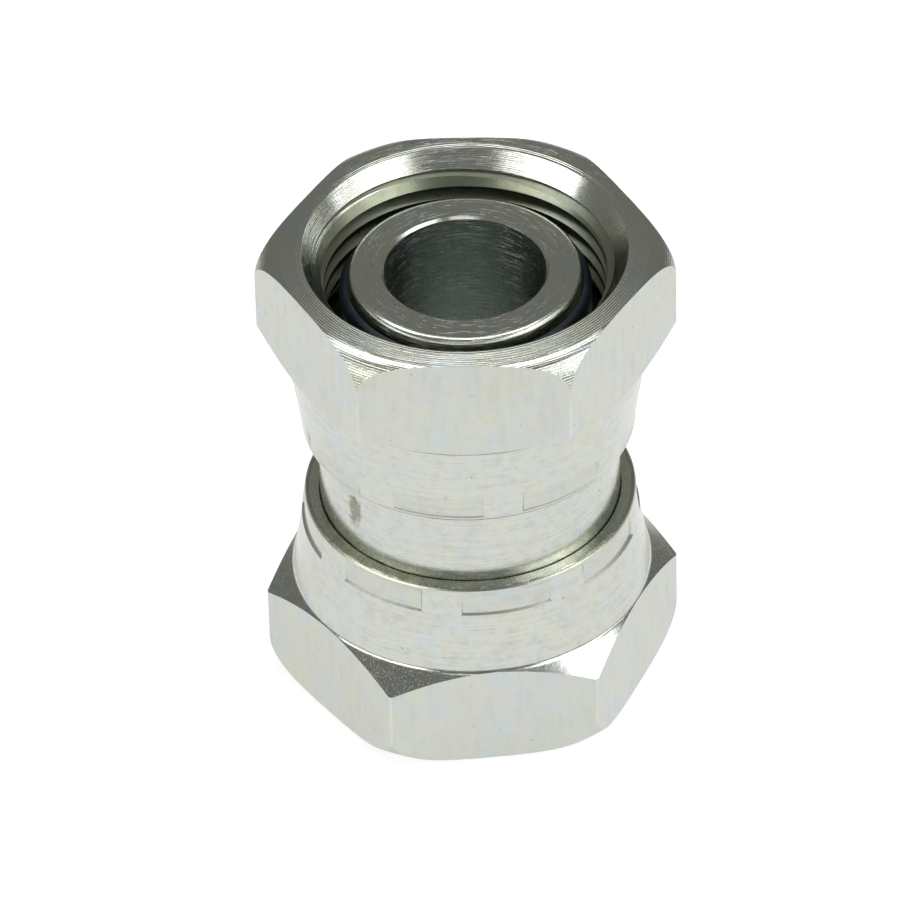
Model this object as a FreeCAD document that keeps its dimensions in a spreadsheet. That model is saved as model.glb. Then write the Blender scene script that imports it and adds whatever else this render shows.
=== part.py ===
# Hydraulic union with a swivel nut at each end.
# A turned spindle carries both nuts. Each nut's skirt is pressed into a groove of the spindle, so that
# the nut turns freely and can't come off. Each end of the spindle is a 24 degree cone nose with an
# O-ring, which seals in the mating stud when the nut is tightened.
# Millimetres. +Z runs along the axis, and z = 0 is the mouth face of the lower nut, on which the
# union stands. Depths are counted from a nut's mouth face inwards, the same way for both ends.
import FreeCAD, Part
import os
import Sketcher

doc = FreeCAD.newDocument("hydraulic_union")

# Driving dimensions
sizes = doc.addObject("Spreadsheet::Sheet", "Sizes")
DIMENSIONS = [
    ("overall_length", 51.0, "mouth face to mouth face"),
    ("across_flats", 36.0, "hexagon of the nuts"),
    ("nut_length", 21.1, "mouth face to rim"),
    ("mouth_land", 0.55, "flat ring round the mouth, on which the nut can stand, radial"),
    ("crown_angle", 12.0, "degrees, between the turned crown and the mouth face"),
    ("corner_round", 0.735, "radius from crown to corners, as a share of the crown's width to the corners"),
    ("corner_break", 0.1, "how much the bar's corners are turned down, radial"),
    ("shoulder_depth", 11.5, "where the collar grows out of the hexagon"),
    ("shoulder_angle", 38.0, "degrees, between the rear shoulder and the mouth face"),
    ("collar_inset", 0.12, "how far the collar's root stays inside the flats"),
    ("collar_root_radius", 0.8, "round between shoulder and collar"),
    ("waist_setback", 4.1, "rim to where the pressed part of the skirt starts"),
    ("waist_share", 0.64, "share of the taper from collar to rim that comes before the pressed part"),
    ("rim_wall", 1.46, "thickness of the skirt at the rim"),
    ("rim_edge", 0.08, "bevel on both edges of the rim"),
    ("mouth_diameter", 32.1, "inner chamfer at the mouth face"),
    ("mouth_chamfer_angle", 33.0, "degrees, between the inner chamfer and the axis"),
    ("thread_minor_diameter", 27.84, "crests of the M30 x 2 female thread"),
    ("step_play", 1.6, "step behind the thread to the spindle's flange, along the axis"),
    ("crimp_marks", 8, "jaw marks round each skirt"),
    ("crimp_mark_angle", 31.5, "degrees that one jaw mark spans"),
    ("crimp_mark_length", 2.55, "jaw mark along the axis"),
    ("crimp_mark_setback", 0.5, "jaw mark to rim"),
    ("crimp_mark_depth", 0.22, "how deep the jaws went in on the hexagon's side"),
    ("crimp_mark_fade", 0.06, "how deep they went in on the rim's side"),
    ("lower_nut_turn", 5.9, "degrees, one hexagon corner from +X, seen from above"),
    ("upper_nut_turn", -1.4, "degrees, one hexagon corner from +X, seen from above"),
    ("lower_crimp_turn", 5.8, "degrees, one jaw mark from that corner, in the nut's own frame"),
    ("upper_crimp_turn", 10.1, "degrees, one jaw mark from that corner, in the nut's own frame"),
    ("land_diameter", 30.0, "plain middle of the spindle"),
    ("flange_step", 0.2, "how far the flange stays inside the land's radius"),
    ("groove_depth", 1.7, "swivel groove's floor below the land"),
    ("flange_setback", 6.5, "rim to the rear edge of the flange"),
    ("flange_width", 2.7, "flange along the axis"),
    ("neck_gap", 1.2, "neck to the crests of the nut's thread, radial"),
    ("neck_length", 1.1, "plain neck between cone and flange"),
    ("nose_recess", 2.5, "nose face behind the mouth face"),
    ("cone_half_angle", 12.0, "degrees, half of the 24 degree cone"),
    ("nose_edge_radius", 0.75, "round on the edge of the nose"),
    ("flow_bore", 16.0, "passage right through the spindle"),
    ("bore_edge", 0.25, "bevel at both ends of the passage"),
    ("o_ring_section", 2.0, "thickness of the O-ring"),
    ("o_ring_setback", 1.3, "nose face to the O-ring's groove"),
    ("o_ring_groove_width", 2.3, "O-ring groove along the axis"),
    ("o_ring_groove_depth", 1.18, "floor of the O-ring's groove below the cone"),
    ("o_ring_squeeze", 0.05, "how much the O-ring's inside is flattened on its groove"),
    ("o_ring_clearance", 0.02, "O-ring to the floor of its groove"),
    ("rim_clearance", 0.08, "nut's rim to the spindle's land, radial running fit"),
    ("flange_clearance", 0.3, "flange to the nut's counterbore, radial"),
    ("bead_clearance", 0.25, "skirt's bead to the floor of the swivel groove, radial"),
    ("swivel_play", 0.3, "bead to flange, along the axis"),
    ("rear_play", 0.9, "bead to the land's side of the groove, along the axis"),
    ("bead_width", 1.5, "crest of the bead along the axis"),
]
for row, (alias, value, note) in enumerate(DIMENSIONS, start=1):
    sizes.set(f"A{row}", note)
    sizes.set(f"B{row}", str(value))
    sizes.setAlias(f"B{row}", alias)
doc.recompute()


def size(formula):
    """The present value of a formula on the sheet's cells."""
    value = sizes.evalExpression(formula)
    return float(getattr(value, "Value", value))


def origin_item(body, role):
    """One of a body's own origin planes or axes."""
    return next(item for item in body.Origin.OriginFeatures if item.Role == role)


def new_body(name):
    """An empty body whose label is its node's name."""
    body = doc.addObject("PartDesign::Body", name)
    body.Label = name
    return body


def new_sketch(body, name, role):
    """An empty sketch on one of the body's origin planes."""
    sketch = body.newObject("Sketcher::SketchObject", name)
    sketch.AttachmentSupport = [(origin_item(body, role), "")]
    sketch.MapMode = "FlatFace"
    return sketch


def bind(sketch, kind, geometry, formula):
    """Hold the start point of an edge at a distance from the sketch's origin, by a formula."""
    row = sketch.addConstraint(
        Sketcher.Constraint(kind, -1, 1, geometry, 1, size(formula)))
    sketch.setExpression(f"Constraints[{row}]", formula)


def turned_outline(body, name, corners):
    """Closed outline for turning about Z: corners are (radius, height) formulas, and radius "0" is
    on the axis."""
    sketch = new_sketch(body, name, "XZ_Plane")
    points = [FreeCAD.Vector(size(radius), size(height), 0) for radius, height in corners]
    for index, point in enumerate(points):
        following = points[(index + 1) % len(points)]
        sketch.addGeometry(Part.LineSegment(point, following), False)
    for index in range(len(points)):
        following = (index + 1) % len(points)
        sketch.addConstraint(Sketcher.Constraint("Coincident", index, 2, following, 1))
    for index, (radius, height) in enumerate(corners):
        if radius == "0":
            sketch.addConstraint(Sketcher.Constraint("PointOnObject", index, 1, -2))
        else:
            bind(sketch, "DistanceX", index, radius)
        if height == "0":
            sketch.addConstraint(Sketcher.Constraint("PointOnObject", index, 1, -1))
        else:
            bind(sketch, "DistanceY", index, height)
    return sketch


def turn(body, kind, name, sketch):
    """Revolve a sketch right round the body's Z axis, adding ("Revolution") or cutting ("Groove")."""
    feature = body.newObject(f"PartDesign::{kind}", name)
    feature.Profile = sketch
    feature.ReferenceAxis = (sketch, ["V_Axis"])
    feature.Angle = 360
    return feature


def cut_check(body, before, name):
    """A cut that points away from the solid removes nothing, so its volume is compared."""
    doc.recompute()
    if body.Shape.Volume >= before - 1e-6:
        raise RuntimeError(f"{name} removed nothing from {body.Label}")
    return body.Shape.Volume


def circle_edges(shape, radius, heights):
    """Names of the full circles of a radius about Z at any of the given heights."""
    found = []
    for number, edge in enumerate(shape.Edges, start=1):
        curve = edge.Curve
        if not isinstance(curve, Part.Circle) or abs(curve.Radius - radius) > 1e-4:
            continue
        if min(abs(curve.Center.z - height) for height in heights) < 1e-4:
            found.append(f"Edge{number}")
    return found


# Formulas that more than one piece uses: radii first, then depths.
CORNER_RADIUS = "Sizes.across_flats / 2 / cos(30 deg)"
THREAD_RADIUS = "Sizes.thread_minor_diameter / 2"
LAND_RADIUS = "Sizes.land_diameter / 2"
FLANGE_RADIUS = f"({LAND_RADIUS} - Sizes.flange_step)"
GROOVE_RADIUS = f"({LAND_RADIUS} - Sizes.groove_depth)"
COUNTERBORE_RADIUS = f"({FLANGE_RADIUS} + Sizes.flange_clearance)"
BEAD_RADIUS = f"({GROOVE_RADIUS} + Sizes.bead_clearance)"
FLANGE_REAR = "(Sizes.nut_length - Sizes.flange_setback)"
FLANGE_FRONT = f"({FLANGE_REAR} - Sizes.flange_width)"
# The bead's 45 degree face lies parallel to the flange's rear face, swivel_play behind it.
BEAD_FOOT = f"({FLANGE_REAR} + Sizes.swivel_play - Sizes.flange_clearance)"
BEAD_FRONT = f"({BEAD_FOOT} + {COUNTERBORE_RADIUS} - {BEAD_RADIUS})"
BEAD_REAR = f"({BEAD_FRONT} + Sizes.bead_width)"


# Swivel nut
# Turned with its crown, shoulder and collar, with a hexagon milled on it. The inside has the mouth
# chamfer, the thread's bore, a counterbore that holds the spindle's flange, and the bead that the press
# has closed into the spindle's groove. The press's eight jaws left a shallow mark each.
def swivel_nut(name, crimp_turn):
    body = new_body(name)
    blank = f"({CORNER_RADIUS} - Sizes.corner_break)"
    collar = "(Sizes.across_flats / 2 - Sizes.collar_inset)"
    rim_bore = f"({LAND_RADIUS} + Sizes.rim_clearance)"
    rim = f"({rim_bore} + Sizes.rim_wall)"
    waist = f"({collar} + ({rim} - {collar}) * Sizes.waist_share)"
    waist_depth = "(Sizes.nut_length - Sizes.waist_setback)"
    face = "(Sizes.mouth_diameter / 2 + Sizes.mouth_land)"
    crown_depth = f"({blank} - {face}) * tan(Sizes.crown_angle * 1 deg)"
    shoulder_slope = "tan(Sizes.shoulder_angle * 1 deg)"
    outside = turned_outline(body, name + "_outside", [
        ("0", "0"),
        (face, "0"),
        (blank, crown_depth),
        (blank, f"Sizes.shoulder_depth - ({blank} - {collar}) * {shoulder_slope}"),
        (collar, "Sizes.shoulder_depth"),
        (waist, waist_depth),
        (rim, "Sizes.nut_length - Sizes.rim_edge"),
        (f"{rim} - Sizes.rim_edge", "Sizes.nut_length"),
        ("0", "Sizes.nut_length"),
    ])
    turned = turn(body, "Revolution", name + "_turned", outside)
    doc.recompute()

    rounds = ((name + "_crown", blank, crown_depth, f"({blank} - {face}) * Sizes.corner_round"),
              (name + "_root", collar, "Sizes.shoulder_depth", "Sizes.collar_root_radius"))
    before = turned
    for label, radius, depth, round_radius in rounds:
        edge = circle_edges(before.Shape, size(radius), [size(depth)])
        rounded = body.newObject("PartDesign::Fillet", label)
        rounded.Base = (before, edge)
        rounded.setExpression("Radius", round_radius)
        body.Tip = rounded
        doc.recompute()
        before = rounded
    volume = body.Shape.Volume

    hexagon = new_sketch(body, name + "_hexagon", "XY_Plane")
    corner_radius = size(CORNER_RADIUS)
    centre = FreeCAD.Vector(0, 0, 0)
    up = FreeCAD.Vector(0, 0, 1)
    first = FreeCAD.Vector(corner_radius, 0, 0)
    corners = [FreeCAD.Rotation(up, 60 * side).multVec(first) for side in range(6)]
    for side in range(6):
        hexagon.addGeometry(Part.LineSegment(corners[side], corners[(side + 1) % 6]), False)
    hexagon.addGeometry(Part.Circle(centre, up, corner_radius), True)
    hexagon.addGeometry(Part.Circle(centre, up, corner_radius + 2), False)
    for side in range(6):
        hexagon.addConstraint(Sketcher.Constraint("Coincident", side, 2, (side + 1) % 6, 1))
        hexagon.addConstraint(Sketcher.Constraint("PointOnObject", side, 1, 6))
    for side in range(1, 6):
        hexagon.addConstraint(Sketcher.Constraint("Equal", 0, side))
    hexagon.addConstraint(Sketcher.Constraint("PointOnObject", 0, 1, -1))
    for circle in (6, 7):
        hexagon.addConstraint(Sketcher.Constraint("Coincident", circle, 3, -1, 1))
    for circle, formula in ((6, CORNER_RADIUS), (7, f"{CORNER_RADIUS} + 2")):
        row = hexagon.addConstraint(Sketcher.Constraint("Radius", circle, size(formula)))
        hexagon.setExpression(f"Constraints[{row}]", formula)
    flats = body.newObject("PartDesign::Pocket", name + "_flats")
    flats.Profile = hexagon
    flats.Reversed = True
    flats.setExpression("Length", "Sizes.shoulder_depth + Sizes.collar_root_radius / 2")
    volume = cut_check(body, volume, "milling the flats")

    # One jaw mark is a shallow cut through part of a turn, and the rest are copies round the axis.
    # The skirt tapers and the jaw doesn't, so the mark fades out towards the rim.
    taper = f"(({waist} - {rim}) / (Sizes.waist_setback - Sizes.rim_edge))"
    from_rim = "(Sizes.crimp_mark_setback - Sizes.rim_edge)"
    rim_side = f"({rim} + {from_rim} * {taper})"
    hexagon_side = f"({rim} + ({from_rim} + Sizes.crimp_mark_length) * {taper})"
    mark_end = "Sizes.nut_length - Sizes.crimp_mark_setback"
    mark_start = f"{mark_end} - Sizes.crimp_mark_length"
    mark = turned_outline(body, name + "_jaw_mark", [
        (f"{hexagon_side} - Sizes.crimp_mark_depth", mark_start),
        (f"{rim_side} - Sizes.crimp_mark_fade", mark_end),
        (f"{waist} + 1", mark_end),
        (f"{waist} + 1", mark_start),
    ])
    mark.AttachmentOffset = FreeCAD.Placement(
        FreeCAD.Vector(0, 0, 0), FreeCAD.Rotation(FreeCAD.Vector(0, 1, 0), 1))
    mark.setExpression("AttachmentOffset.Rotation.Angle", f"Sizes.{crimp_turn}")
    jaw = turn(body, "Groove", name + "_jaw", mark)
    jaw.Midplane = True
    jaw.setExpression("Angle", "Sizes.crimp_mark_angle")
    volume = cut_check(body, volume, "the first jaw mark")
    jaws = body.newObject("PartDesign::PolarPattern", name + "_jaws")
    jaws.Originals = [jaw]
    jaws.Axis = (origin_item(body, "Z_Axis"), [""])
    jaws.Angle = 360
    jaws.setExpression("Occurrences", "Sizes.crimp_marks")
    body.Tip = jaws
    volume = cut_check(body, volume, "the other jaw marks")

    # The step behind the thread lies parallel to the flange's front face.
    step = f"({FLANGE_FRONT} - {FLANGE_RADIUS} - Sizes.step_play)"
    inside = turned_outline(body, name + "_inside", [
        ("0", "0"),
        ("Sizes.mouth_diameter / 2", "0"),
        (THREAD_RADIUS, "(Sizes.mouth_diameter - Sizes.thread_minor_diameter) / 2"
                        " / tan(Sizes.mouth_chamfer_angle * 1 deg)"),
        (THREAD_RADIUS, f"{step} + {THREAD_RADIUS}"),
        (COUNTERBORE_RADIUS, f"{step} + {COUNTERBORE_RADIUS}"),
        (COUNTERBORE_RADIUS, BEAD_FOOT),
        (BEAD_RADIUS, BEAD_FRONT),
        (BEAD_RADIUS, BEAD_REAR),
        (rim_bore, f"{BEAD_REAR} + {rim_bore} - {BEAD_RADIUS}"),
        (rim_bore, "Sizes.nut_length - Sizes.rim_edge"),
        (f"{rim_bore} + Sizes.rim_edge", "Sizes.nut_length"),
        ("0", "Sizes.nut_length"),
    ])
    bore = turn(body, "Groove", name + "_bore", inside)
    body.Tip = bore
    cut_check(body, volume, "boring the inside")
    return body


lower_nut = swivel_nut("lower_nut", "lower_crimp_turn")
lower_nut.setExpression("Placement", "placement(vector(0; 0; 0);"
                        " rotation(vector(0; 0; 1); Sizes.lower_nut_turn))")

# The upper nut is the same piece turned over, about a level axis at half of its turn.
upper_nut = swivel_nut("upper_nut", "upper_crimp_turn")
upper_nut.setExpression("Placement", "placement(vector(0; 0; Sizes.overall_length);"
                        " rotation(vector(cos(Sizes.upper_nut_turn / 2 * 1 deg);"
                        " sin(Sizes.upper_nut_turn / 2 * 1 deg); 0); 180))")


# Spindle
# One turned piece, the same at both ends, so one half is turned about the middle and mirrored. From the
# middle outwards: plain land, swivel groove, flange, neck, 24 degree cone with its O-ring groove.
def from_middle(depth):
    """Height above the spindle's middle of a depth below the mouth face."""
    return f"Sizes.overall_length / 2 - ({depth})"


spindle = new_body("spindle")
cone_slope = "tan(Sizes.cone_half_angle * 1 deg)"
groove_end = f"({BEAD_REAR} - Sizes.bead_clearance + Sizes.rear_play)"
neck = f"({THREAD_RADIUS} - Sizes.neck_gap)"
neck_end = f"({FLANGE_FRONT} - {FLANGE_RADIUS} + {neck})"
cone_end = f"({neck_end} - Sizes.neck_length)"
nose = f"({neck} - ({cone_end} - Sizes.nose_recess) * {cone_slope})"
half_outline = turned_outline(spindle, "spindle_half", [
    ("Sizes.flow_bore / 2", "0"),
    (LAND_RADIUS, "0"),
    (LAND_RADIUS, from_middle(f"{groove_end} + {LAND_RADIUS} - {GROOVE_RADIUS}")),
    (GROOVE_RADIUS, from_middle(groove_end)),
    (GROOVE_RADIUS, from_middle(f"{FLANGE_REAR} + {FLANGE_RADIUS} - {GROOVE_RADIUS}")),
    (FLANGE_RADIUS, from_middle(FLANGE_REAR)),
    (FLANGE_RADIUS, from_middle(FLANGE_FRONT)),
    (neck, from_middle(neck_end)),
    (neck, from_middle(cone_end)),
    (nose, from_middle("Sizes.nose_recess")),
    ("Sizes.flow_bore / 2", from_middle("Sizes.nose_recess")),
])
half = turn(spindle, "Revolution", "spindle_turning", half_outline)
doc.recompute()
half_volume = spindle.Shape.Volume

ring_groove_near = "Sizes.nose_recess + Sizes.o_ring_setback"
ring_groove_far = f"{ring_groove_near} + Sizes.o_ring_groove_width"
ring_floor = f"({nose} + Sizes.o_ring_setback * {cone_slope} - Sizes.o_ring_groove_depth)"
ring_groove = turned_outline(spindle, "o_ring_groove_outline", [
    (ring_floor, from_middle(ring_groove_far)),
    (FLANGE_RADIUS, from_middle(ring_groove_far)),
    (FLANGE_RADIUS, from_middle(ring_groove_near)),
    (ring_floor, from_middle(ring_groove_near)),
])
ring_groove_cut = turn(spindle, "Groove", "o_ring_groove", ring_groove)
cut_check(spindle, half_volume, "the O-ring groove")

both_halves = spindle.newObject("PartDesign::Mirrored", "spindle_mirrored")
both_halves.Originals = [half, ring_groove_cut]
both_halves.MirrorPlane = (origin_item(spindle, "XY_Plane"), [""])
spindle.Tip = both_halves
doc.recompute()

nose_height = size(from_middle("Sizes.nose_recess"))
nose_edge = circle_edges(spindle.Shape, size(nose), [nose_height, -nose_height])
nose_round = spindle.newObject("PartDesign::Fillet", "nose_round")
nose_round.Base = (both_halves, nose_edge)
nose_round.setExpression("Radius", "Sizes.nose_edge_radius")
spindle.Tip = nose_round
doc.recompute()

passage_edge = circle_edges(spindle.Shape, size("Sizes.flow_bore / 2"), [nose_height, -nose_height])
passage_bevel = spindle.newObject("PartDesign::Chamfer", "passage_bevel")
passage_bevel.Base = (nose_round, passage_edge)
passage_bevel.setExpression("Size", "Sizes.bore_edge")
spindle.Tip = passage_bevel
spindle.setExpression("Placement", "placement(vector(0; 0; Sizes.overall_length / 2);"
                      " rotation(vector(0; 0; 1); 0))")


# O-rings
# A moulded rubber ring in each nose, stretched into its groove, so that its inside lies flat.
def o_ring(name, height):
    moulded = doc.addObject("Part::Torus", name + "_moulded")
    moulded.setExpression("Radius2", "Sizes.o_ring_section / 2")
    moulded.setExpression("Radius1", f"{ring_floor} + Sizes.o_ring_clearance"
                          " + Sizes.o_ring_section / 2 - Sizes.o_ring_squeeze")
    seat = doc.addObject("Part::Cylinder", name + "_seat")
    seat.setExpression("Radius", f"{ring_floor} + Sizes.o_ring_clearance")
    seat.setExpression("Height", "Sizes.o_ring_section")
    seat.setExpression("Placement.Base.z", "-Sizes.o_ring_section / 2")
    ring = doc.addObject("Part::Cut", name)
    ring.Base = moulded
    ring.Tool = seat
    ring.Label = name
    ring.setExpression("Placement.Base.z", height)
    return ring


ring_depth = f"{ring_groove_near} + Sizes.o_ring_groove_width / 2"
lower_o_ring = o_ring("lower_o_ring", ring_depth)
upper_o_ring = o_ring("upper_o_ring", f"Sizes.overall_length - ({ring_depth})")

# Every object has to be sound before anything is written
doc.recompute()
for item in doc.Objects:
    if "Invalid" in item.State or "Error" in item.State:
        raise RuntimeError(f"{item.Label} did not compute: {item.State}")
subparts = [spindle, upper_nut, lower_nut, upper_o_ring, lower_o_ring]
for piece in subparts:
    if piece.Shape.isNull() or not piece.Shape.isValid() or len(piece.Shape.Solids) != 1:
        raise RuntimeError(f"{piece.Label} is not one sound solid")

os.makedirs("parts", exist_ok=True)
for piece in subparts:
    piece.Shape.exportStep(f"parts/{piece.Label}.step")
    print(piece.Label, "volume", round(piece.Shape.Volume, 1), "mm3, box", piece.Shape.BoundBox)
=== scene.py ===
# Hydraulic union with a swivel nut at each end, standing on its lower nut.
# The scene is in metres. Sizes are written in millimetres and multiplied by MM.
import math
import bpy
from mathutils import Matrix, Vector


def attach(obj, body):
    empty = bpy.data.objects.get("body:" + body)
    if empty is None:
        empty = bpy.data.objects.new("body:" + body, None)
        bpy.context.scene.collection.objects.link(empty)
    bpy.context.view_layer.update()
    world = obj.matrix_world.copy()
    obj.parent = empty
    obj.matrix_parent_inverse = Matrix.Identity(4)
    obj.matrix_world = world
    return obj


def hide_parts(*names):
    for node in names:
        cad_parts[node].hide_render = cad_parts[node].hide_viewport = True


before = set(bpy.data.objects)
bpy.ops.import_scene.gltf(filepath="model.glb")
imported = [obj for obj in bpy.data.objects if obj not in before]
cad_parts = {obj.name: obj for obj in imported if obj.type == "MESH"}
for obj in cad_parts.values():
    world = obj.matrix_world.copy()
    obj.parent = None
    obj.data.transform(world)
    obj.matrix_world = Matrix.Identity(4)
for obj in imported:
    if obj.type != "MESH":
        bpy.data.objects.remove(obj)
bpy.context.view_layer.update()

# Spindle
# One piece of steel, turned and bored, then plated, by its colour with zinc. Its plain land in the
# middle and its two cone noses are open to view. The flanges behind the noses are inside the nuts.
MM = 0.001
WELD = 0.0005 * MM  # corners nearer than this become one
TURN_STEPS = 240
LENGTH = 51.0
HALF = LENGTH / 2


def select_only(piece):
    """This piece alone is selected and active."""
    bpy.ops.object.select_all(action="DESELECT")
    piece.select_set(True)
    bpy.context.view_layer.objects.active = piece


def traced(name, points):
    """A closed outline through the points, left in edit mode with all of it selected."""
    bpy.ops.object.select_all(action="DESELECT")
    bpy.ops.mesh.primitive_plane_add(size=MM)
    piece = bpy.context.object
    piece.name = name
    bpy.ops.object.mode_set(mode="EDIT")
    bpy.ops.mesh.merge(type="CENTER")
    bpy.ops.transform.translate(value=points[0])
    for here, following in zip(points, points[1:] + points[:1]):
        bpy.ops.mesh.extrude_vertices_move(TRANSFORM_OT_translate={"value": following - here})
    bpy.ops.mesh.select_all(action="SELECT")
    bpy.ops.mesh.remove_doubles(threshold=WELD)
    return piece


def turned(name, corners, start=0.0):
    """Spins a closed outline of (radius, height) corners right round the Z axis.
    start is the angle in degrees at which the outline is drawn."""
    outward = Vector((math.cos(math.radians(start)), math.sin(math.radians(start)), 0))
    piece = traced(name, [MM * (radius * outward + Vector((0, 0, height)))
                          for radius, height in corners])
    bpy.ops.mesh.spin(steps=TURN_STEPS, angle=math.tau, center=(0, 0, 0), axis=(0, 0, 1))
    bpy.ops.mesh.select_all(action="SELECT")
    bpy.ops.mesh.remove_doubles(threshold=WELD)
    bpy.ops.mesh.normals_make_consistent(inside=False)
    bpy.ops.object.mode_set(mode="OBJECT")
    return piece


def feed_marks(start, end, pitch, depth):
    """Corners from start to end with the tool's feed between them: in each pitch, a narrow groove
    from 0.55 of it on, deepest at 0.78. It goes in on the right of the line from start to end."""
    run = Vector(end) - Vector(start)
    grooves = max(1, round(run.length / pitch))
    inward = Vector((run.y, -run.x)).normalized() * depth
    corners = [tuple(start)]
    for groove in range(grooves):
        corners.append(tuple(Vector(start) + run * (groove + 0.55) / grooves))
        corners.append(tuple(Vector(start) + run * (groove + 0.78) / grooves + inward))
        corners.append(tuple(Vector(start) + run * (groove + 1) / grooves))
    return corners


def rounded(before, corner, after, radius, steps):
    """Corners of the arc in one corner's place, from the side of before to that of after."""
    back = (Vector(before) - Vector(corner)).normalized()
    ahead = (Vector(after) - Vector(corner)).normalized()
    half = back.angle(ahead) / 2
    centre = Vector(corner) + (back + ahead).normalized() * radius / math.sin(half)
    first = Vector(corner) + back * radius / math.tan(half) - centre
    last = Vector(corner) + ahead * radius / math.tan(half) - centre
    sweep = math.atan2(first.cross(last), first.dot(last))
    return [tuple(centre + Matrix.Rotation(sweep * step / steps, 2) @ first)
            for step in range(steps + 1)]


def pick(piece, wanted):
    """Edit mode, with only the vertices selected whose radius, angle and height are wanted."""
    bpy.ops.object.mode_set(mode="OBJECT")
    select_only(piece)
    bpy.ops.object.mode_set(mode="EDIT")
    bpy.ops.mesh.select_mode(type="VERT")
    bpy.ops.mesh.select_all(action="DESELECT")
    bpy.ops.object.mode_set(mode="OBJECT")
    for vertex in piece.data.vertices:
        x, y, z = vertex.co / MM
        vertex.select = wanted(math.hypot(x, y), math.degrees(math.atan2(y, x)) % 360, z)
    bpy.ops.object.mode_set(mode="EDIT")


def finish_turning(piece):
    """Round surfaces shade smooth, and edges of more than 17 degrees stay sharp."""
    bpy.ops.object.mode_set(mode="OBJECT")
    select_only(piece)
    bpy.ops.object.shade_smooth_by_angle(angle=math.radians(17))


BORE = 8.0
LAND = 15.0
NOSE_FACE = HALF - 2.5
NOSE = 11.4
NECK = 12.72
NECK_END = 16.78
SWIVEL_GROOVE = 13.3
FLANGE = 14.8
RING_GROOVE = 10.49
nose_round = rounded((NECK, NECK_END), (NOSE, NOSE_FACE), (BORE, NOSE_FACE), 0.75, 8)
upper_half = (
    # The land has a row of corners every 0.4 mm, for the dent
    [(LAND, 0.4 * step) for step in range(14)]
    + [(LAND - 0.1, 5.5), (SWIVEL_GROOVE, 7.2), (SWIVEL_GROOVE, 9.4)]
    + [(FLANGE, 10.9), (FLANGE, 13.6), (NECK, 15.68), (NECK, NECK_END)]
    # The cone with its O-ring groove, the nose's face, and the bore's broken edge
    + [(12.165, 19.4), (RING_GROOVE, 19.4), (RING_GROOVE, 21.7), (11.69, 21.7)]
    + nose_round[:-1]
    + feed_marks(nose_round[-1], (BORE + 0.25, NOSE_FACE), 0.22, -0.006)
    + [(BORE, NOSE_FACE - 0.25)]
)
lower_half = [(radius, -height) for radius, height in upper_half[:0:-1]]
spindle = turned("spindle_turning", [(radius, HALF + height)
                                     for radius, height in lower_half + upper_half])


def in_dent(radius, angle, height):
    """A small patch on the land's left side."""
    return radius > LAND - 0.1 and abs(angle - 220.2) < 2 and abs(height - 26.2) < 0.7


# The dent is pushed in as a knock would do it, and fades out over 1.6 mm
pick(spindle, in_dent)
bpy.ops.transform.translate(value=(0.12 * MM, 0.10 * MM, 0), use_proportional_edit=True,
                            proportional_edit_falloff="SMOOTH", proportional_size=1.6 * MM)
finish_turning(spindle)

STEEL = (0.625, 0.655, 0.600)
STEEL_YELLOW = (0.645, 0.655, 0.560)
STEEL_PINK = (0.645, 0.635, 0.605)
STEEL_BLUE = (0.600, 0.650, 0.640)
STEEL_DULL = (0.50, 0.52, 0.475)
STEEL_PIT = (0.33, 0.33, 0.28)
STEEL_BRIGHT = (0.80, 0.82, 0.77)
STAIN = (0.20, 0.19, 0.13)


def add_node(tree, kind, inputs=None, **settings):
    """A node with its settings and its inputs, each a value or another node's output."""
    node = tree.nodes.new("ShaderNode" + kind)
    for setting, value in settings.items():
        setattr(node, setting, value)
    for socket, value in (inputs or {}).items():
        if isinstance(value, bpy.types.NodeSocket):
            tree.links.new(value, node.inputs[socket])
        else:
            node.inputs[socket].default_value = value
    return node


def noise(tree, vector, scale, detail, roughness=0.5):
    """The outputs of a noise: Fac is one value, and Color is three that differ."""
    return add_node(tree, "TexNoise", {"Vector": vector, "Scale": scale, "Detail": detail,
                                       "Roughness": roughness}).outputs


def scaled(tree, vector, across, along):
    """A place times across on X and Y and along on Z."""
    return add_node(tree, "VectorMath", {0: vector, 1: (across, across, along)},
                    operation="MULTIPLY").outputs[0]


def ramp(tree, value, start, end, low=0.0, high=1.0):
    """A value's rise from start to end, smoothed, as low to high."""
    return add_node(tree, "MapRange", {"Value": value, "From Min": start, "From Max": end,
                                       "To Min": low, "To Max": high},
                    interpolation_type="SMOOTHSTEP").outputs["Result"]


def mixed(tree, share, first, second):
    """A colour between two, each a colour or another node's output."""
    mix = add_node(tree, "Mix", {"Factor": share}, data_type="RGBA")
    for socket, value in ((6, first), (7, second)):
        if isinstance(value, bpy.types.NodeSocket):
            tree.links.new(value, mix.inputs[socket])
        else:
            mix.inputs[socket].default_value = (*value, 1)
    return mix.outputs[2]


def bumps(tree, height, depth, normal=None):
    """A normal with bumps of that depth in millimetres, on top of an earlier normal if given."""
    inputs = {"Height": height, "Strength": 1.0, "Distance": depth * MM}
    if normal is not None:
        inputs["Normal"] = normal
    return add_node(tree, "Bump", inputs).outputs[0]


def turning_lines(tree, place, up):
    """A place in which noise makes fine lines round the axis, by height on round surfaces and by
    radius on faces. up is 1 or -1 and keeps them fine on the cones too."""
    apart = add_node(tree, "SeparateXYZ", {0: place})
    level = scaled(tree, place, 1, 0)
    radius = add_node(tree, "VectorMath", {0: level}, operation="LENGTH").outputs["Value"]
    height = add_node(tree, "Math", {0: apart.outputs["Z"], 1: float(up)},
                      operation="MULTIPLY").outputs[0]
    across = add_node(tree, "Math", {0: radius, 1: -1.3, 2: height},
                      operation="MULTIPLY_ADD").outputs[0]
    unrolled = add_node(tree, "CombineXYZ", {"X": apart.outputs["X"], "Y": apart.outputs["Y"],
                                             "Z": across}).outputs[0]
    return scaled(tree, unrolled, 160, 8000)


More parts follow.
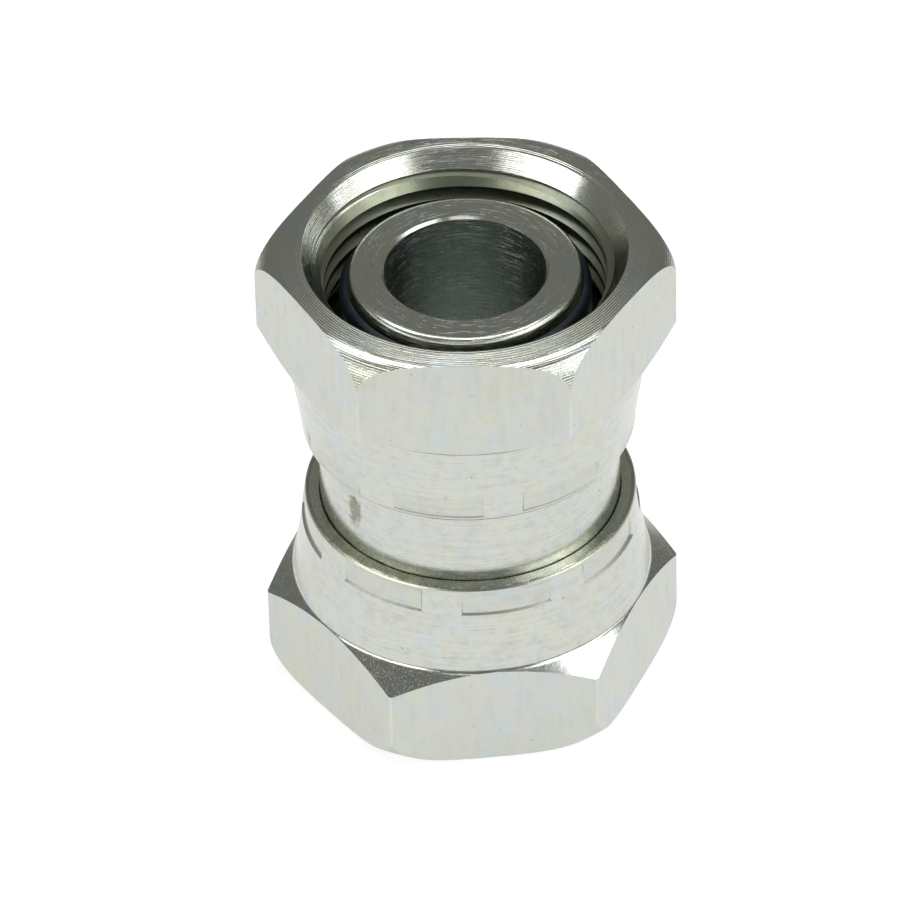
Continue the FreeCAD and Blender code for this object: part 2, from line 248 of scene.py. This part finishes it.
def plated_steel(name, kind, up=1, grain_depth=0.010, roughness=0.19, wear=0.5, shade=(1, 1, 1),
                 scratches=0.0):
    """Plated steel. Turned steel has fine lines round the axis, milled flats have soft upright
    streaks, and a rough skin has specks. shade darkens or lightens the steel, wear dulls it in
    places, and bright scratches lie along the lines. Noise scales are per metre."""
    finish = bpy.data.materials.new(name)
    finish.use_nodes = True
    tree = finish.node_tree
    shader = tree.nodes["Principled BSDF"]
    place = add_node(tree, "TexCoord").outputs["Object"]
    if kind == "milled":
        lines = scaled(tree, place, 1500, 200)
    elif kind == "rough":
        lines = scaled(tree, place, 3000, 3000)
    else:
        lines = turning_lines(tree, place, up)
    if kind == "rough":
        grain = noise(tree, lines, 1.0, 4.0, 0.75)["Fac"]
    else:
        grain = noise(tree, lines, 1.0, 3.0, 0.6)["Fac"]
    marks = ramp(tree, noise(tree, lines, 2.6, 1.0)["Fac"], 0.64, 0.70, 0.0, scratches)
    mottle = noise(tree, place, 900.0, 4.0, 0.65)["Fac"]
    pits = noise(tree, place, 1700.0, 1.0)["Fac"]
    # Tints of the plating, then its dull places, pits and scratches
    hue = add_node(tree, "SeparateColor", {0: noise(tree, place, 260.0, 3.0, 0.6)["Color"]})
    colour = mixed(tree, ramp(tree, hue.outputs["Red"], 0.42, 0.66), STEEL, STEEL_YELLOW)
    colour = mixed(tree, ramp(tree, hue.outputs["Green"], 0.46, 0.68), colour, STEEL_PINK)
    colour = mixed(tree, ramp(tree, hue.outputs["Blue"], 0.46, 0.68), colour, STEEL_BLUE)
    worn = add_node(tree, "Math", {0: ramp(tree, mottle, 0.35, 0.75, 0.0, 0.5),
                                   1: ramp(tree, grain, 0.40, 0.72, 0.0, 0.5)},
                    operation="ADD").outputs[0]
    colour = mixed(tree, ramp(tree, worn, 0.1, 1.0, 0.0, wear), colour, STEEL_DULL)
    colour = mixed(tree, ramp(tree, pits, 0.76, 0.81, 0.0, 0.7), colour, STEEL_PIT)
    colour = add_node(tree, "VectorMath", {0: colour, 1: shade}, operation="MULTIPLY").outputs[0]
    tree.links.new(mixed(tree, marks, colour, STEEL_BRIGHT), shader.inputs["Base Color"])
    shader.inputs["Metallic"].default_value = 1.0
    blur = add_node(tree, "Math", {0: worn, 1: 0.12, 2: roughness - 0.05},
                    operation="MULTIPLY_ADD").outputs[0]
    tree.links.new(blur, shader.inputs["Roughness"])
    surface = bumps(tree, grain, grain_depth)
    surface = bumps(tree, marks, 0.012, surface)
    surface = bumps(tree, mottle, 0.009, surface)
    tree.links.new(surface, shader.inputs["Normal"])
    return finish


def stained(finish, centre, reach, amount):
    """Adds a brown stain with an uneven edge: its centre and its reach on each axis, in mm."""
    tree = finish.node_tree
    base = tree.nodes["Principled BSDF"].inputs["Base Color"]
    place = add_node(tree, "TexCoord").outputs["Object"]
    edge = noise(tree, place, 1600.0, 3.0)["Color"]
    edge = add_node(tree, "VectorMath", {0: edge, 1: (0.5, 0.5, 0.5)},
                    operation="SUBTRACT").outputs[0]
    edge = add_node(tree, "VectorMath", {0: edge, "Scale": 1.6 * MM}, operation="SCALE").outputs[0]
    place = add_node(tree, "VectorMath", {0: place, 1: edge}, operation="ADD").outputs[0]
    away = add_node(tree, "VectorMath", {0: place, 1: [MM * value for value in centre]},
                    operation="SUBTRACT").outputs[0]
    away = add_node(tree, "VectorMath", {0: away, 1: [1 / (MM * value) for value in reach]},
                    operation="MULTIPLY").outputs[0]
    away = add_node(tree, "VectorMath", {0: away}, operation="LENGTH").outputs["Value"]
    share = ramp(tree, away, 0.5, 1.1, amount, 0.0)
    tree.links.new(mixed(tree, share, base.links[0].from_socket, STAIN), base)


spindle_steel = plated_steel("spindle_turned_steel", "turned", wear=0.8, scratches=0.3)
stained(spindle_steel, (-11.6, -9.6, 25.8), (1.0, 1.0, 2.3), 0.75)
stained(spindle_steel, (-11.8, -9.3, 27.2), (0.7, 0.7, 0.45), 0.9)
# The bore's steel is darker than the outside: painted shade inside the bore.
shaded_bored_steel = plated_steel("spindle_bore_painted_shade", "turned", roughness=0.26,
                           shade=(0.80, 0.84, 0.85), scratches=0.6)
spindle.data.materials.clear()
spindle.data.materials.append(spindle_steel)
spindle.data.materials.append(shaded_bored_steel)
for face in spindle.data.polygons:
    if math.hypot(face.center.x, face.center.y) < (BORE + 0.05) * MM:
        face.material_index = 1
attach(spindle, "spindle")
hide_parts("spindle")

# Swivel nuts
# Two alike nuts of plated steel, turned with an M30 x 2 thread, then milled to a hexagon 36 mm
# across flats. By its marks, a press with eight jaws has closed each skirt into the spindle's
# groove, so that the nut turns there.
ACROSS_FLATS = 36.0
CORNER = ACROSS_FLATS / math.sqrt(3)
BLANK = CORNER - 0.1
NUT_LENGTH = 21.1
MOUTH = 16.05
LAND_EDGE = 16.6
CROWN_ANGLE = math.radians(12)
SHOULDER_ANGLE = math.radians(38)
SHOULDER_END = (17.88, 11.5)
WAIST = (17.02, 17.0)
COLLAR_TAPER = 0.1194
THREAD_CREST = 13.92
THREAD_PITCH = 2.0
THREAD_TURNS = 7
BEAD = 13.55
RIM = NUT_LENGTH - 0.06
SKIRT = 16.8
MARKS = 8
MARK_ANGLE = 31.5
MARK_START = 18.05
MARK_MIDDLE = 19.5
MARK_END = 20.6
MARK_DEPTH = 0.22
MARK_FADED = 0.06
# The slots of a nut's finishes
(TURNED, MILLED, ROUGH, PRESSED, TAPPED_SHADED, EDGE_HIGHLIGHT, MARK_WALL, SHOULDER, PRESSED_RIM,
 FEED_GROOVE) = range(10)


def cut(piece, cutter):
    """Takes the cutter's space out of the piece."""
    trim = piece.modifiers.new("cut", "BOOLEAN")
    trim.object = cutter
    trim.operation = "DIFFERENCE"
    trim.solver = "MANIFOLD"
    select_only(piece)
    bpy.ops.object.modifier_apply(modifier=trim.name)
    bpy.data.objects.remove(cutter)


def nut_outline():
    """The nut's section as (radius, height) corners, from the mouth face at height 0 round the
    outside to the rim and back through the bore."""
    crown = (BLANK, (BLANK - LAND_EDGE) * math.tan(CROWN_ANGLE))
    shoulder = (BLANK, SHOULDER_END[1] - (BLANK - SHOULDER_END[0]) * math.tan(SHOULDER_ANGLE))
    corner_round = rounded((LAND_EDGE, 0), crown, shoulder, 3.0, 14)
    return (
        # Mouth face, crown and its round, with the tool's feed marks
        feed_marks((MOUTH + 0.06, 0), (LAND_EDGE, 0), 0.25, -0.022)
        + feed_marks((LAND_EDGE, 0), corner_round[0], 0.25, -0.022)[1:]
        + [corner for here, following in zip(corner_round, corner_round[1:])
           for corner in feed_marks(here, following, 0.3, -0.014)[1:]]
        # Shoulder, collar and skirt
        + [shoulder]
        + rounded(shoulder, SHOULDER_END, WAIST, 0.8, 8)
        + [WAIST, (16.895, MARK_START), (16.59, MARK_END), (16.55, NUT_LENGTH - 0.24)]
        # Rim, with the burr that the press has raised on its outer edge
        + [(16.46, NUT_LENGTH - 0.09), (16.36, NUT_LENGTH - 0.05), (16.27, RIM)]
        + [(16.20, NUT_LENGTH - 0.005), (16.12, RIM), (15.16, RIM), (15.08, NUT_LENGTH - 0.12)]
        # Bore of the rim, bead in the spindle's groove, room for the flange
        + [(15.08, 19.18), (BEAD, 17.65), (BEAD, 16.15), (15.1, 14.6), (15.1, 10.6)]
        # Thread crest and mouth chamfer
        + [(THREAD_CREST, 9.42)]
        + feed_marks((THREAD_CREST, 3.28), (MOUTH, 0.06), 0.2, -0.006)
    )


def press_marks(nut, mark_turn):
    """Jaw marks: each is pressed in most on the hexagon's side and fades out towards the rim."""
    def in_mark(radius, angle, height):
        off = (angle - mark_turn + 180 / MARKS) % (360 / MARKS) - 180 / MARKS
        on_skirt = radius > 16.4 and MARK_START - 0.01 < height < MARK_END + 0.01
        return on_skirt and abs(off) < MARK_ANGLE / 2 + 0.1
    pick(nut, in_mark)
    bpy.ops.mesh.select_mode(type="FACE")
    bpy.ops.mesh.inset(thickness=0.15 * MM)
    bpy.ops.object.mode_set(mode="OBJECT")
    floor = {index for face in nut.data.polygons if face.select for index in face.vertices}
    rim_side = {index for index in floor if nut.data.vertices[index].co.z > MARK_MIDDLE * MM}
    for part, depth in ((floor - rim_side, MARK_DEPTH), (rim_side, MARK_FADED)):
        # Nothing is selected at first, then this part alone
        pick(nut, lambda radius, angle, height: False)
        bpy.ops.object.mode_set(mode="OBJECT")
        for index in part:
            nut.data.vertices[index].select = True
        bpy.ops.object.mode_set(mode="EDIT")
        inward = 1 - depth / SKIRT
        bpy.ops.transform.resize(value=(inward, inward, 1), center_override=(0, 0, 0))
    bpy.ops.object.mode_set(mode="OBJECT")


def raise_burr(nut):
    """The burr on the rim is uneven all round."""
    pick(nut, lambda radius, angle, height: 16.1 < radius < 16.3 and height > NUT_LENGTH - 0.1)
    bpy.ops.transform.vertex_random(offset=0.03 * MM, seed=4)
    bpy.ops.transform.translate(value=(0, 0, -0.02 * MM))
    bpy.ops.object.mode_set(mode="OBJECT")


def mill_hexagon(nut):
    """A ring with a six-sided hole takes off the round, from 1 mm below the nut to 11.9 mm up."""
    bpy.ops.object.select_all(action="DESELECT")
    bpy.ops.mesh.primitive_circle_add(vertices=6, radius=CORNER * MM, fill_type="NGON",
                                      location=(0, 0, -MM), rotation=(0, 0, math.radians(30)))
    mill = bpy.context.object
    bpy.ops.object.transform_apply(location=True, rotation=True)
    bpy.ops.object.mode_set(mode="EDIT")
    bpy.ops.mesh.delete(type="ONLY_FACE")
    bpy.ops.mesh.select_all(action="SELECT")
    bpy.ops.mesh.extrude_edges_move()
    bpy.ops.transform.resize(value=(1.3, 1.3, 1))
    bpy.ops.mesh.select_all(action="SELECT")
    bpy.ops.mesh.extrude_region_move(TRANSFORM_OT_translate={"value": (0, 0, 12.9 * MM)})
    bpy.ops.mesh.select_all(action="SELECT")
    bpy.ops.mesh.normals_make_consistent(inside=False)
    bpy.ops.object.mode_set(mode="OBJECT")
    cut(nut, mill)


def tap_thread(nut):
    """One ridge outline, swept up a right-hand helix from 1.5 mm below the mouth face."""
    ridge = [(15.0, -0.125), (15.0, 0.125), (13.62, 0.922), (13.62, -0.922)]
    tap = traced("tap", [Vector((radius, 0, height - 1.5)) * MM for radius, height in ridge])
    bpy.ops.object.mode_set(mode="OBJECT")
    sweep = tap.modifiers.new("sweep", "SCREW")
    sweep.axis = "Z"
    sweep.angle = math.tau
    sweep.screw_offset = THREAD_PITCH * MM
    sweep.iterations = THREAD_TURNS
    sweep.steps = sweep.render_steps = 120
    bpy.ops.object.modifier_apply(modifier=sweep.name)
    bpy.ops.object.mode_set(mode="EDIT")
    bpy.ops.mesh.select_all(action="SELECT")
    bpy.ops.mesh.fill_holes(sides=4)
    bpy.ops.mesh.select_all(action="SELECT")
    bpy.ops.mesh.normals_make_consistent(inside=False)
    bpy.ops.object.mode_set(mode="OBJECT")
    cut(nut, tap)


def finish_at(radius, height, outward, rise):
    """The slot of a nut's face at that place, in millimetres. outward is its normal times its
    place, which on a flat is the distance from the axis, and rise is its normal's Z, unsigned."""
    in_hexagon = height < 12
    on_skirt = radius > 16.3
    if in_hexagon and rise < 0.001 and abs(outward - ACROSS_FLATS / 2) < 0.01:
        return MILLED
    # The hexagon's corners, where the turned blank is left as a narrow band, made lighter than the
    # flats as a painted highlight
    if in_hexagon and rise < 0.1 and radius > 20.5:
        return EDGE_HIGHLIGHT
    # The thread, whose steel is darkened as painted shade in the nut's mouth. In the mouth chamfer
    # only its flanks count, because they lie flatter
    if radius < 15.06 and 1 < height < 10.6 and (height > 2.15 or rise > 0.7):
        return TAPPED_SHADED
    # The speckled skin on the crown's corners
    if radius > 19.4 and height < 9:
        return ROUGH
    # A feed groove's outer flank leans out more than the face it is in
    crown_lean = math.sin(CROWN_ANGLE) if radius > LAND_EDGE else 0.0
    if MOUTH < radius < 18.2 and height < 1 and outward / radius - crown_lean > 0.15:
        return FEED_GROOVE
    if height > NUT_LENGTH - 0.26 and radius > 15.0:
        return PRESSED_RIM
    if radius > 17.95 and 8.5 < height < 11.4:
        return SHOULDER
    # The skirt past the jaw marks, and what lies deeper than its surface, which is the marks
    if on_skirt and height > MARK_END:
        return PRESSED
    surface = WAIST[0] - (height - WAIST[1]) * COLLAR_TAPER
    if on_skirt and height > WAIST[1] and radius < surface - 0.03:
        return MARK_WALL if rise > 0.4 else PRESSED
    return TURNED


def swivel_nut(name, mark_turn, up):
    """A nut with its mouth face at height 0, one hexagon corner on +X and one jaw mark at
    mark_turn. up is 1 when it stands so in the union, and -1 when it is turned over."""
    nut = turned(name, nut_outline(), mark_turn - MARK_ANGLE / 2)
    press_marks(nut, mark_turn)
    raise_burr(nut)
    mill_hexagon(nut)
    tap_thread(nut)
    finish_turning(nut)
    turned_steel = plated_steel(name + "_turned", "turned", up, grain_depth=0.012, wear=0.8,
                                scratches=0.2)
    pressed_steel = plated_steel(name + "_pressed", "turned", up, grain_depth=0.008,
                                 roughness=0.24, wear=0.6, shade=(0.96, 0.96, 0.95))
    nut.data.materials.clear()
    for finish in (turned_steel, milled_flat, rough_skin, pressed_steel, shaded_tapped_thread,
                   edge_highlight_steel, mark_wall, shoulder_skin, pressed_rim, feed_groove):
        nut.data.materials.append(finish)
    for face in nut.data.polygons:
        radius = math.hypot(face.center.x, face.center.y) / MM
        height = face.center.z / MM
        outward = (face.normal.x * face.center.x + face.normal.y * face.center.y) / MM
        face.material_index = finish_at(radius, height, outward, abs(face.normal.z))
    return nut


milled_flat = plated_steel("nut_milled", "milled", grain_depth=0.002, roughness=0.32, wear=0.2)
rough_skin = plated_steel("nut_rough_skin", "rough", grain_depth=0.05, roughness=0.20,
                          shade=(0.9, 0.9, 0.88))
# The narrow bands at the hexagon's corners are lighter than the flats: a painted highlight.
edge_highlight_steel = plated_steel("nut_edge_painted_highlight", "milled", grain_depth=0.004, roughness=0.25,
                           wear=0.1, shade=(1.06, 1.06, 1.06))
mark_wall = plated_steel("nut_mark_wall", "rough", grain_depth=0.03, roughness=0.4, wear=0.6)
shoulder_skin = plated_steel("nut_shoulder", "rough", grain_depth=0.006, roughness=0.18, wear=0.8,
                             scratches=0.45)
pressed_rim = plated_steel("nut_pressed_rim", "rough", grain_depth=0.02, roughness=0.30,
                           shade=(0.86, 0.87, 0.79))
feed_groove = plated_steel("nut_feed_groove", "rough", grain_depth=0.005, roughness=0.42,
                           wear=0.3, shade=(0.85, 0.85, 0.83))
# The thread's steel is much darker than the rest of the nut: painted shade in the nut's mouth.
shaded_tapped_thread = plated_steel("nut_tapped_painted_shade", "rough", grain_depth=0.005, roughness=0.32,
                             shade=(0.42, 0.44, 0.36))

# The lower nut stands a little turned. The upper one is turned over about a level line, which
# leaves its first corner at -1.4 degrees.
lower_nut = swivel_nut("lower_swivel_nut", 5.8, 1)
lower_nut.matrix_world = Matrix.Rotation(math.radians(5.9), 4, "Z")
upper_nut = swivel_nut("upper_swivel_nut", 10.1, -1)
level_line = math.radians(-1.4 / 2)
upper_nut.matrix_world = (
    Matrix.Translation((0, 0, LENGTH * MM))
    @ Matrix.Rotation(math.pi, 4, Vector((math.cos(level_line), math.sin(level_line), 0))))
for nut, body in ((lower_nut, "lower_nut"), (upper_nut, "upper_nut")):
    select_only(nut)
    bpy.ops.object.transform_apply(location=True, rotation=True, scale=True)
    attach(nut, body)
    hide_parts(body)

# O-rings
# A moulded rubber ring in the groove of each nose. The solids have the right shape, so they stay
# and get the rubber's finish: nearly black, a little blue, with a faint film of oil.
rubber = bpy.data.materials.new("o_ring_rubber")
rubber.use_nodes = True
tree = rubber.node_tree
shader = tree.nodes["Principled BSDF"]
place = add_node(tree, "TexCoord").outputs["Object"]
skin = noise(tree, place, 2500.0, 3.0)["Fac"]
film = noise(tree, place, 300.0, 2.0)["Fac"]
tree.links.new(mixed(tree, ramp(tree, film, 0.35, 0.65), (0.002, 0.006, 0.014),
                     (0.006, 0.013, 0.024)), shader.inputs["Base Color"])
tree.links.new(ramp(tree, film, 0.3, 0.7, 0.32, 0.48), shader.inputs["Roughness"])
tree.links.new(bumps(tree, skin, 0.01), shader.inputs["Normal"])
for name in ("upper_o_ring", "lower_o_ring"):
    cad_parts[name].data.materials.clear()
    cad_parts[name].data.materials.append(rubber)

# Studio
# A white sheet that keeps a faint shadow, soft lamps beside the camera and high ones round the
# object, the widest of them overhead. Behind the sheet the room is dim in the steel, and white to
# the camera.
bpy.ops.object.select_all(action="DESELECT")
bpy.ops.mesh.primitive_plane_add(size=1.4, location=(0, 0, -0.05 * MM))
floor = bpy.context.object
floor.name = "floor"
paper = bpy.data.materials.new("white_paper")
paper.use_nodes = True
tree = paper.node_tree
shader = tree.nodes["Principled BSDF"]
shader.inputs["Base Color"].default_value = (0.4, 0.4, 0.4, 1)
shader.inputs["Roughness"].default_value = 1.0
shader.inputs["Specular IOR Level"].default_value = 0.0
shader.inputs["Emission Color"].default_value = (1, 1, 1, 1)
rays = add_node(tree, "LightPath").outputs
seen = add_node(tree, "Math", {0: rays["Is Camera Ray"], 1: rays["Is Glossy Ray"]},
                operation="ADD").outputs[0]
seen = add_node(tree, "Math", {0: seen, 1: rays["Is Transmission Ray"]},
                operation="ADD").outputs[0]
# To the camera the whole sheet glows, and in the steel only its part near the object
place = add_node(tree, "TexCoord").outputs["Object"]
away = add_node(tree, "VectorMath", {0: place}, operation="LENGTH").outputs["Value"]
glow = add_node(tree, "Math", {0: ramp(tree, away, 0.10, 0.22, 1.0, 0.0),
                               1: rays["Is Camera Ray"]}, operation="MAXIMUM").outputs[0]
glow = add_node(tree, "Math", {0: glow, 1: seen}, operation="MULTIPLY").outputs[0]
glow = add_node(tree, "Math", {0: glow, 1: 0.69}, operation="MULTIPLY").outputs[0]
glow = add_node(tree, "Math", {0: rays["Is Camera Ray"], 1: 0.08, 2: glow},
                operation="MULTIPLY_ADD").outputs[0]
tree.links.new(glow, shader.inputs["Emission Strength"])
floor.data.materials.append(paper)


def soft_lamp(name, azimuth, elevation, distance, width, height, watts):
    """An area lamp that faces the object. The azimuth is from the camera's side to the right, in
    degrees. The distance and the lamp's width and height are in metres."""
    light = bpy.data.lights.new(name, "AREA")
    light.shape = "RECTANGLE"
    light.size = width
    light.size_y = height
    light.energy = watts
    lamp = bpy.data.objects.new(name, light)
    bpy.context.scene.collection.objects.link(lamp)
    turn, rise = math.radians(azimuth), math.radians(elevation)
    out = Vector((math.sin(turn) * math.cos(rise), -math.cos(turn) * math.cos(rise),
                  math.sin(rise)))
    lamp.location = out * distance + Vector((0, 0, HALF * MM))
    lamp.rotation_euler = out.to_track_quat("Z", "Y").to_euler()


soft_lamp("left_lamp", -56, 20, 0.9, 0.90, 0.34, 2.8)
soft_lamp("right_lamp", 57, 30, 0.9, 0.52, 0.66, 2.6)
soft_lamp("front_lamp", 0, 50, 1.0, 0.5, 0.16, 0.3)
soft_lamp("high_left_lamp", -104, 58, 1.0, 0.34, 0.34, 0.6)
soft_lamp("high_right_lamp", 84, 43, 1.0, 0.4, 0.34, 0.9)
soft_lamp("low_right_lamp", 82, 13, 0.9, 0.45, 0.16, 0.55)
soft_lamp("top_lamp", 180, 77.5, 1.0, 1.0, 0.42, 3.6)

sky = bpy.data.worlds.new("studio")
bpy.context.scene.world = sky
sky.use_nodes = True
tree = sky.node_tree
rays = add_node(tree, "LightPath").outputs
tree.links.new(mixed(tree, rays["Is Camera Ray"], (0.195, 0.197, 0.180), (1.0, 1.0, 1.0)),
               tree.nodes["Background"].inputs["Color"])

# Camera
# The view of the photograph: a long lens about 1 m away and 39.6 degrees up, solved from the outline
# and the edges of both hexagons. Its place is in metres.
lens = bpy.data.cameras.new("camera")
lens.sensor_width = 36.0
lens.lens = 391.67
lens.shift_x = -0.01958
lens.shift_y = 0.00642
camera = bpy.data.objects.new("camera", lens)
camera.matrix_world = (Matrix.Translation((-0.000193, -0.75113, 0.64668))
                       @ Matrix.Rotation(math.radians(50.367), 4, "X")
                       @ Matrix.Rotation(math.radians(-1.387), 4, "Z"))
bpy.context.scene.collection.objects.link(camera)
bpy.context.scene.camera = camera
bpy.context.scene.view_settings.view_transform = "Standard"
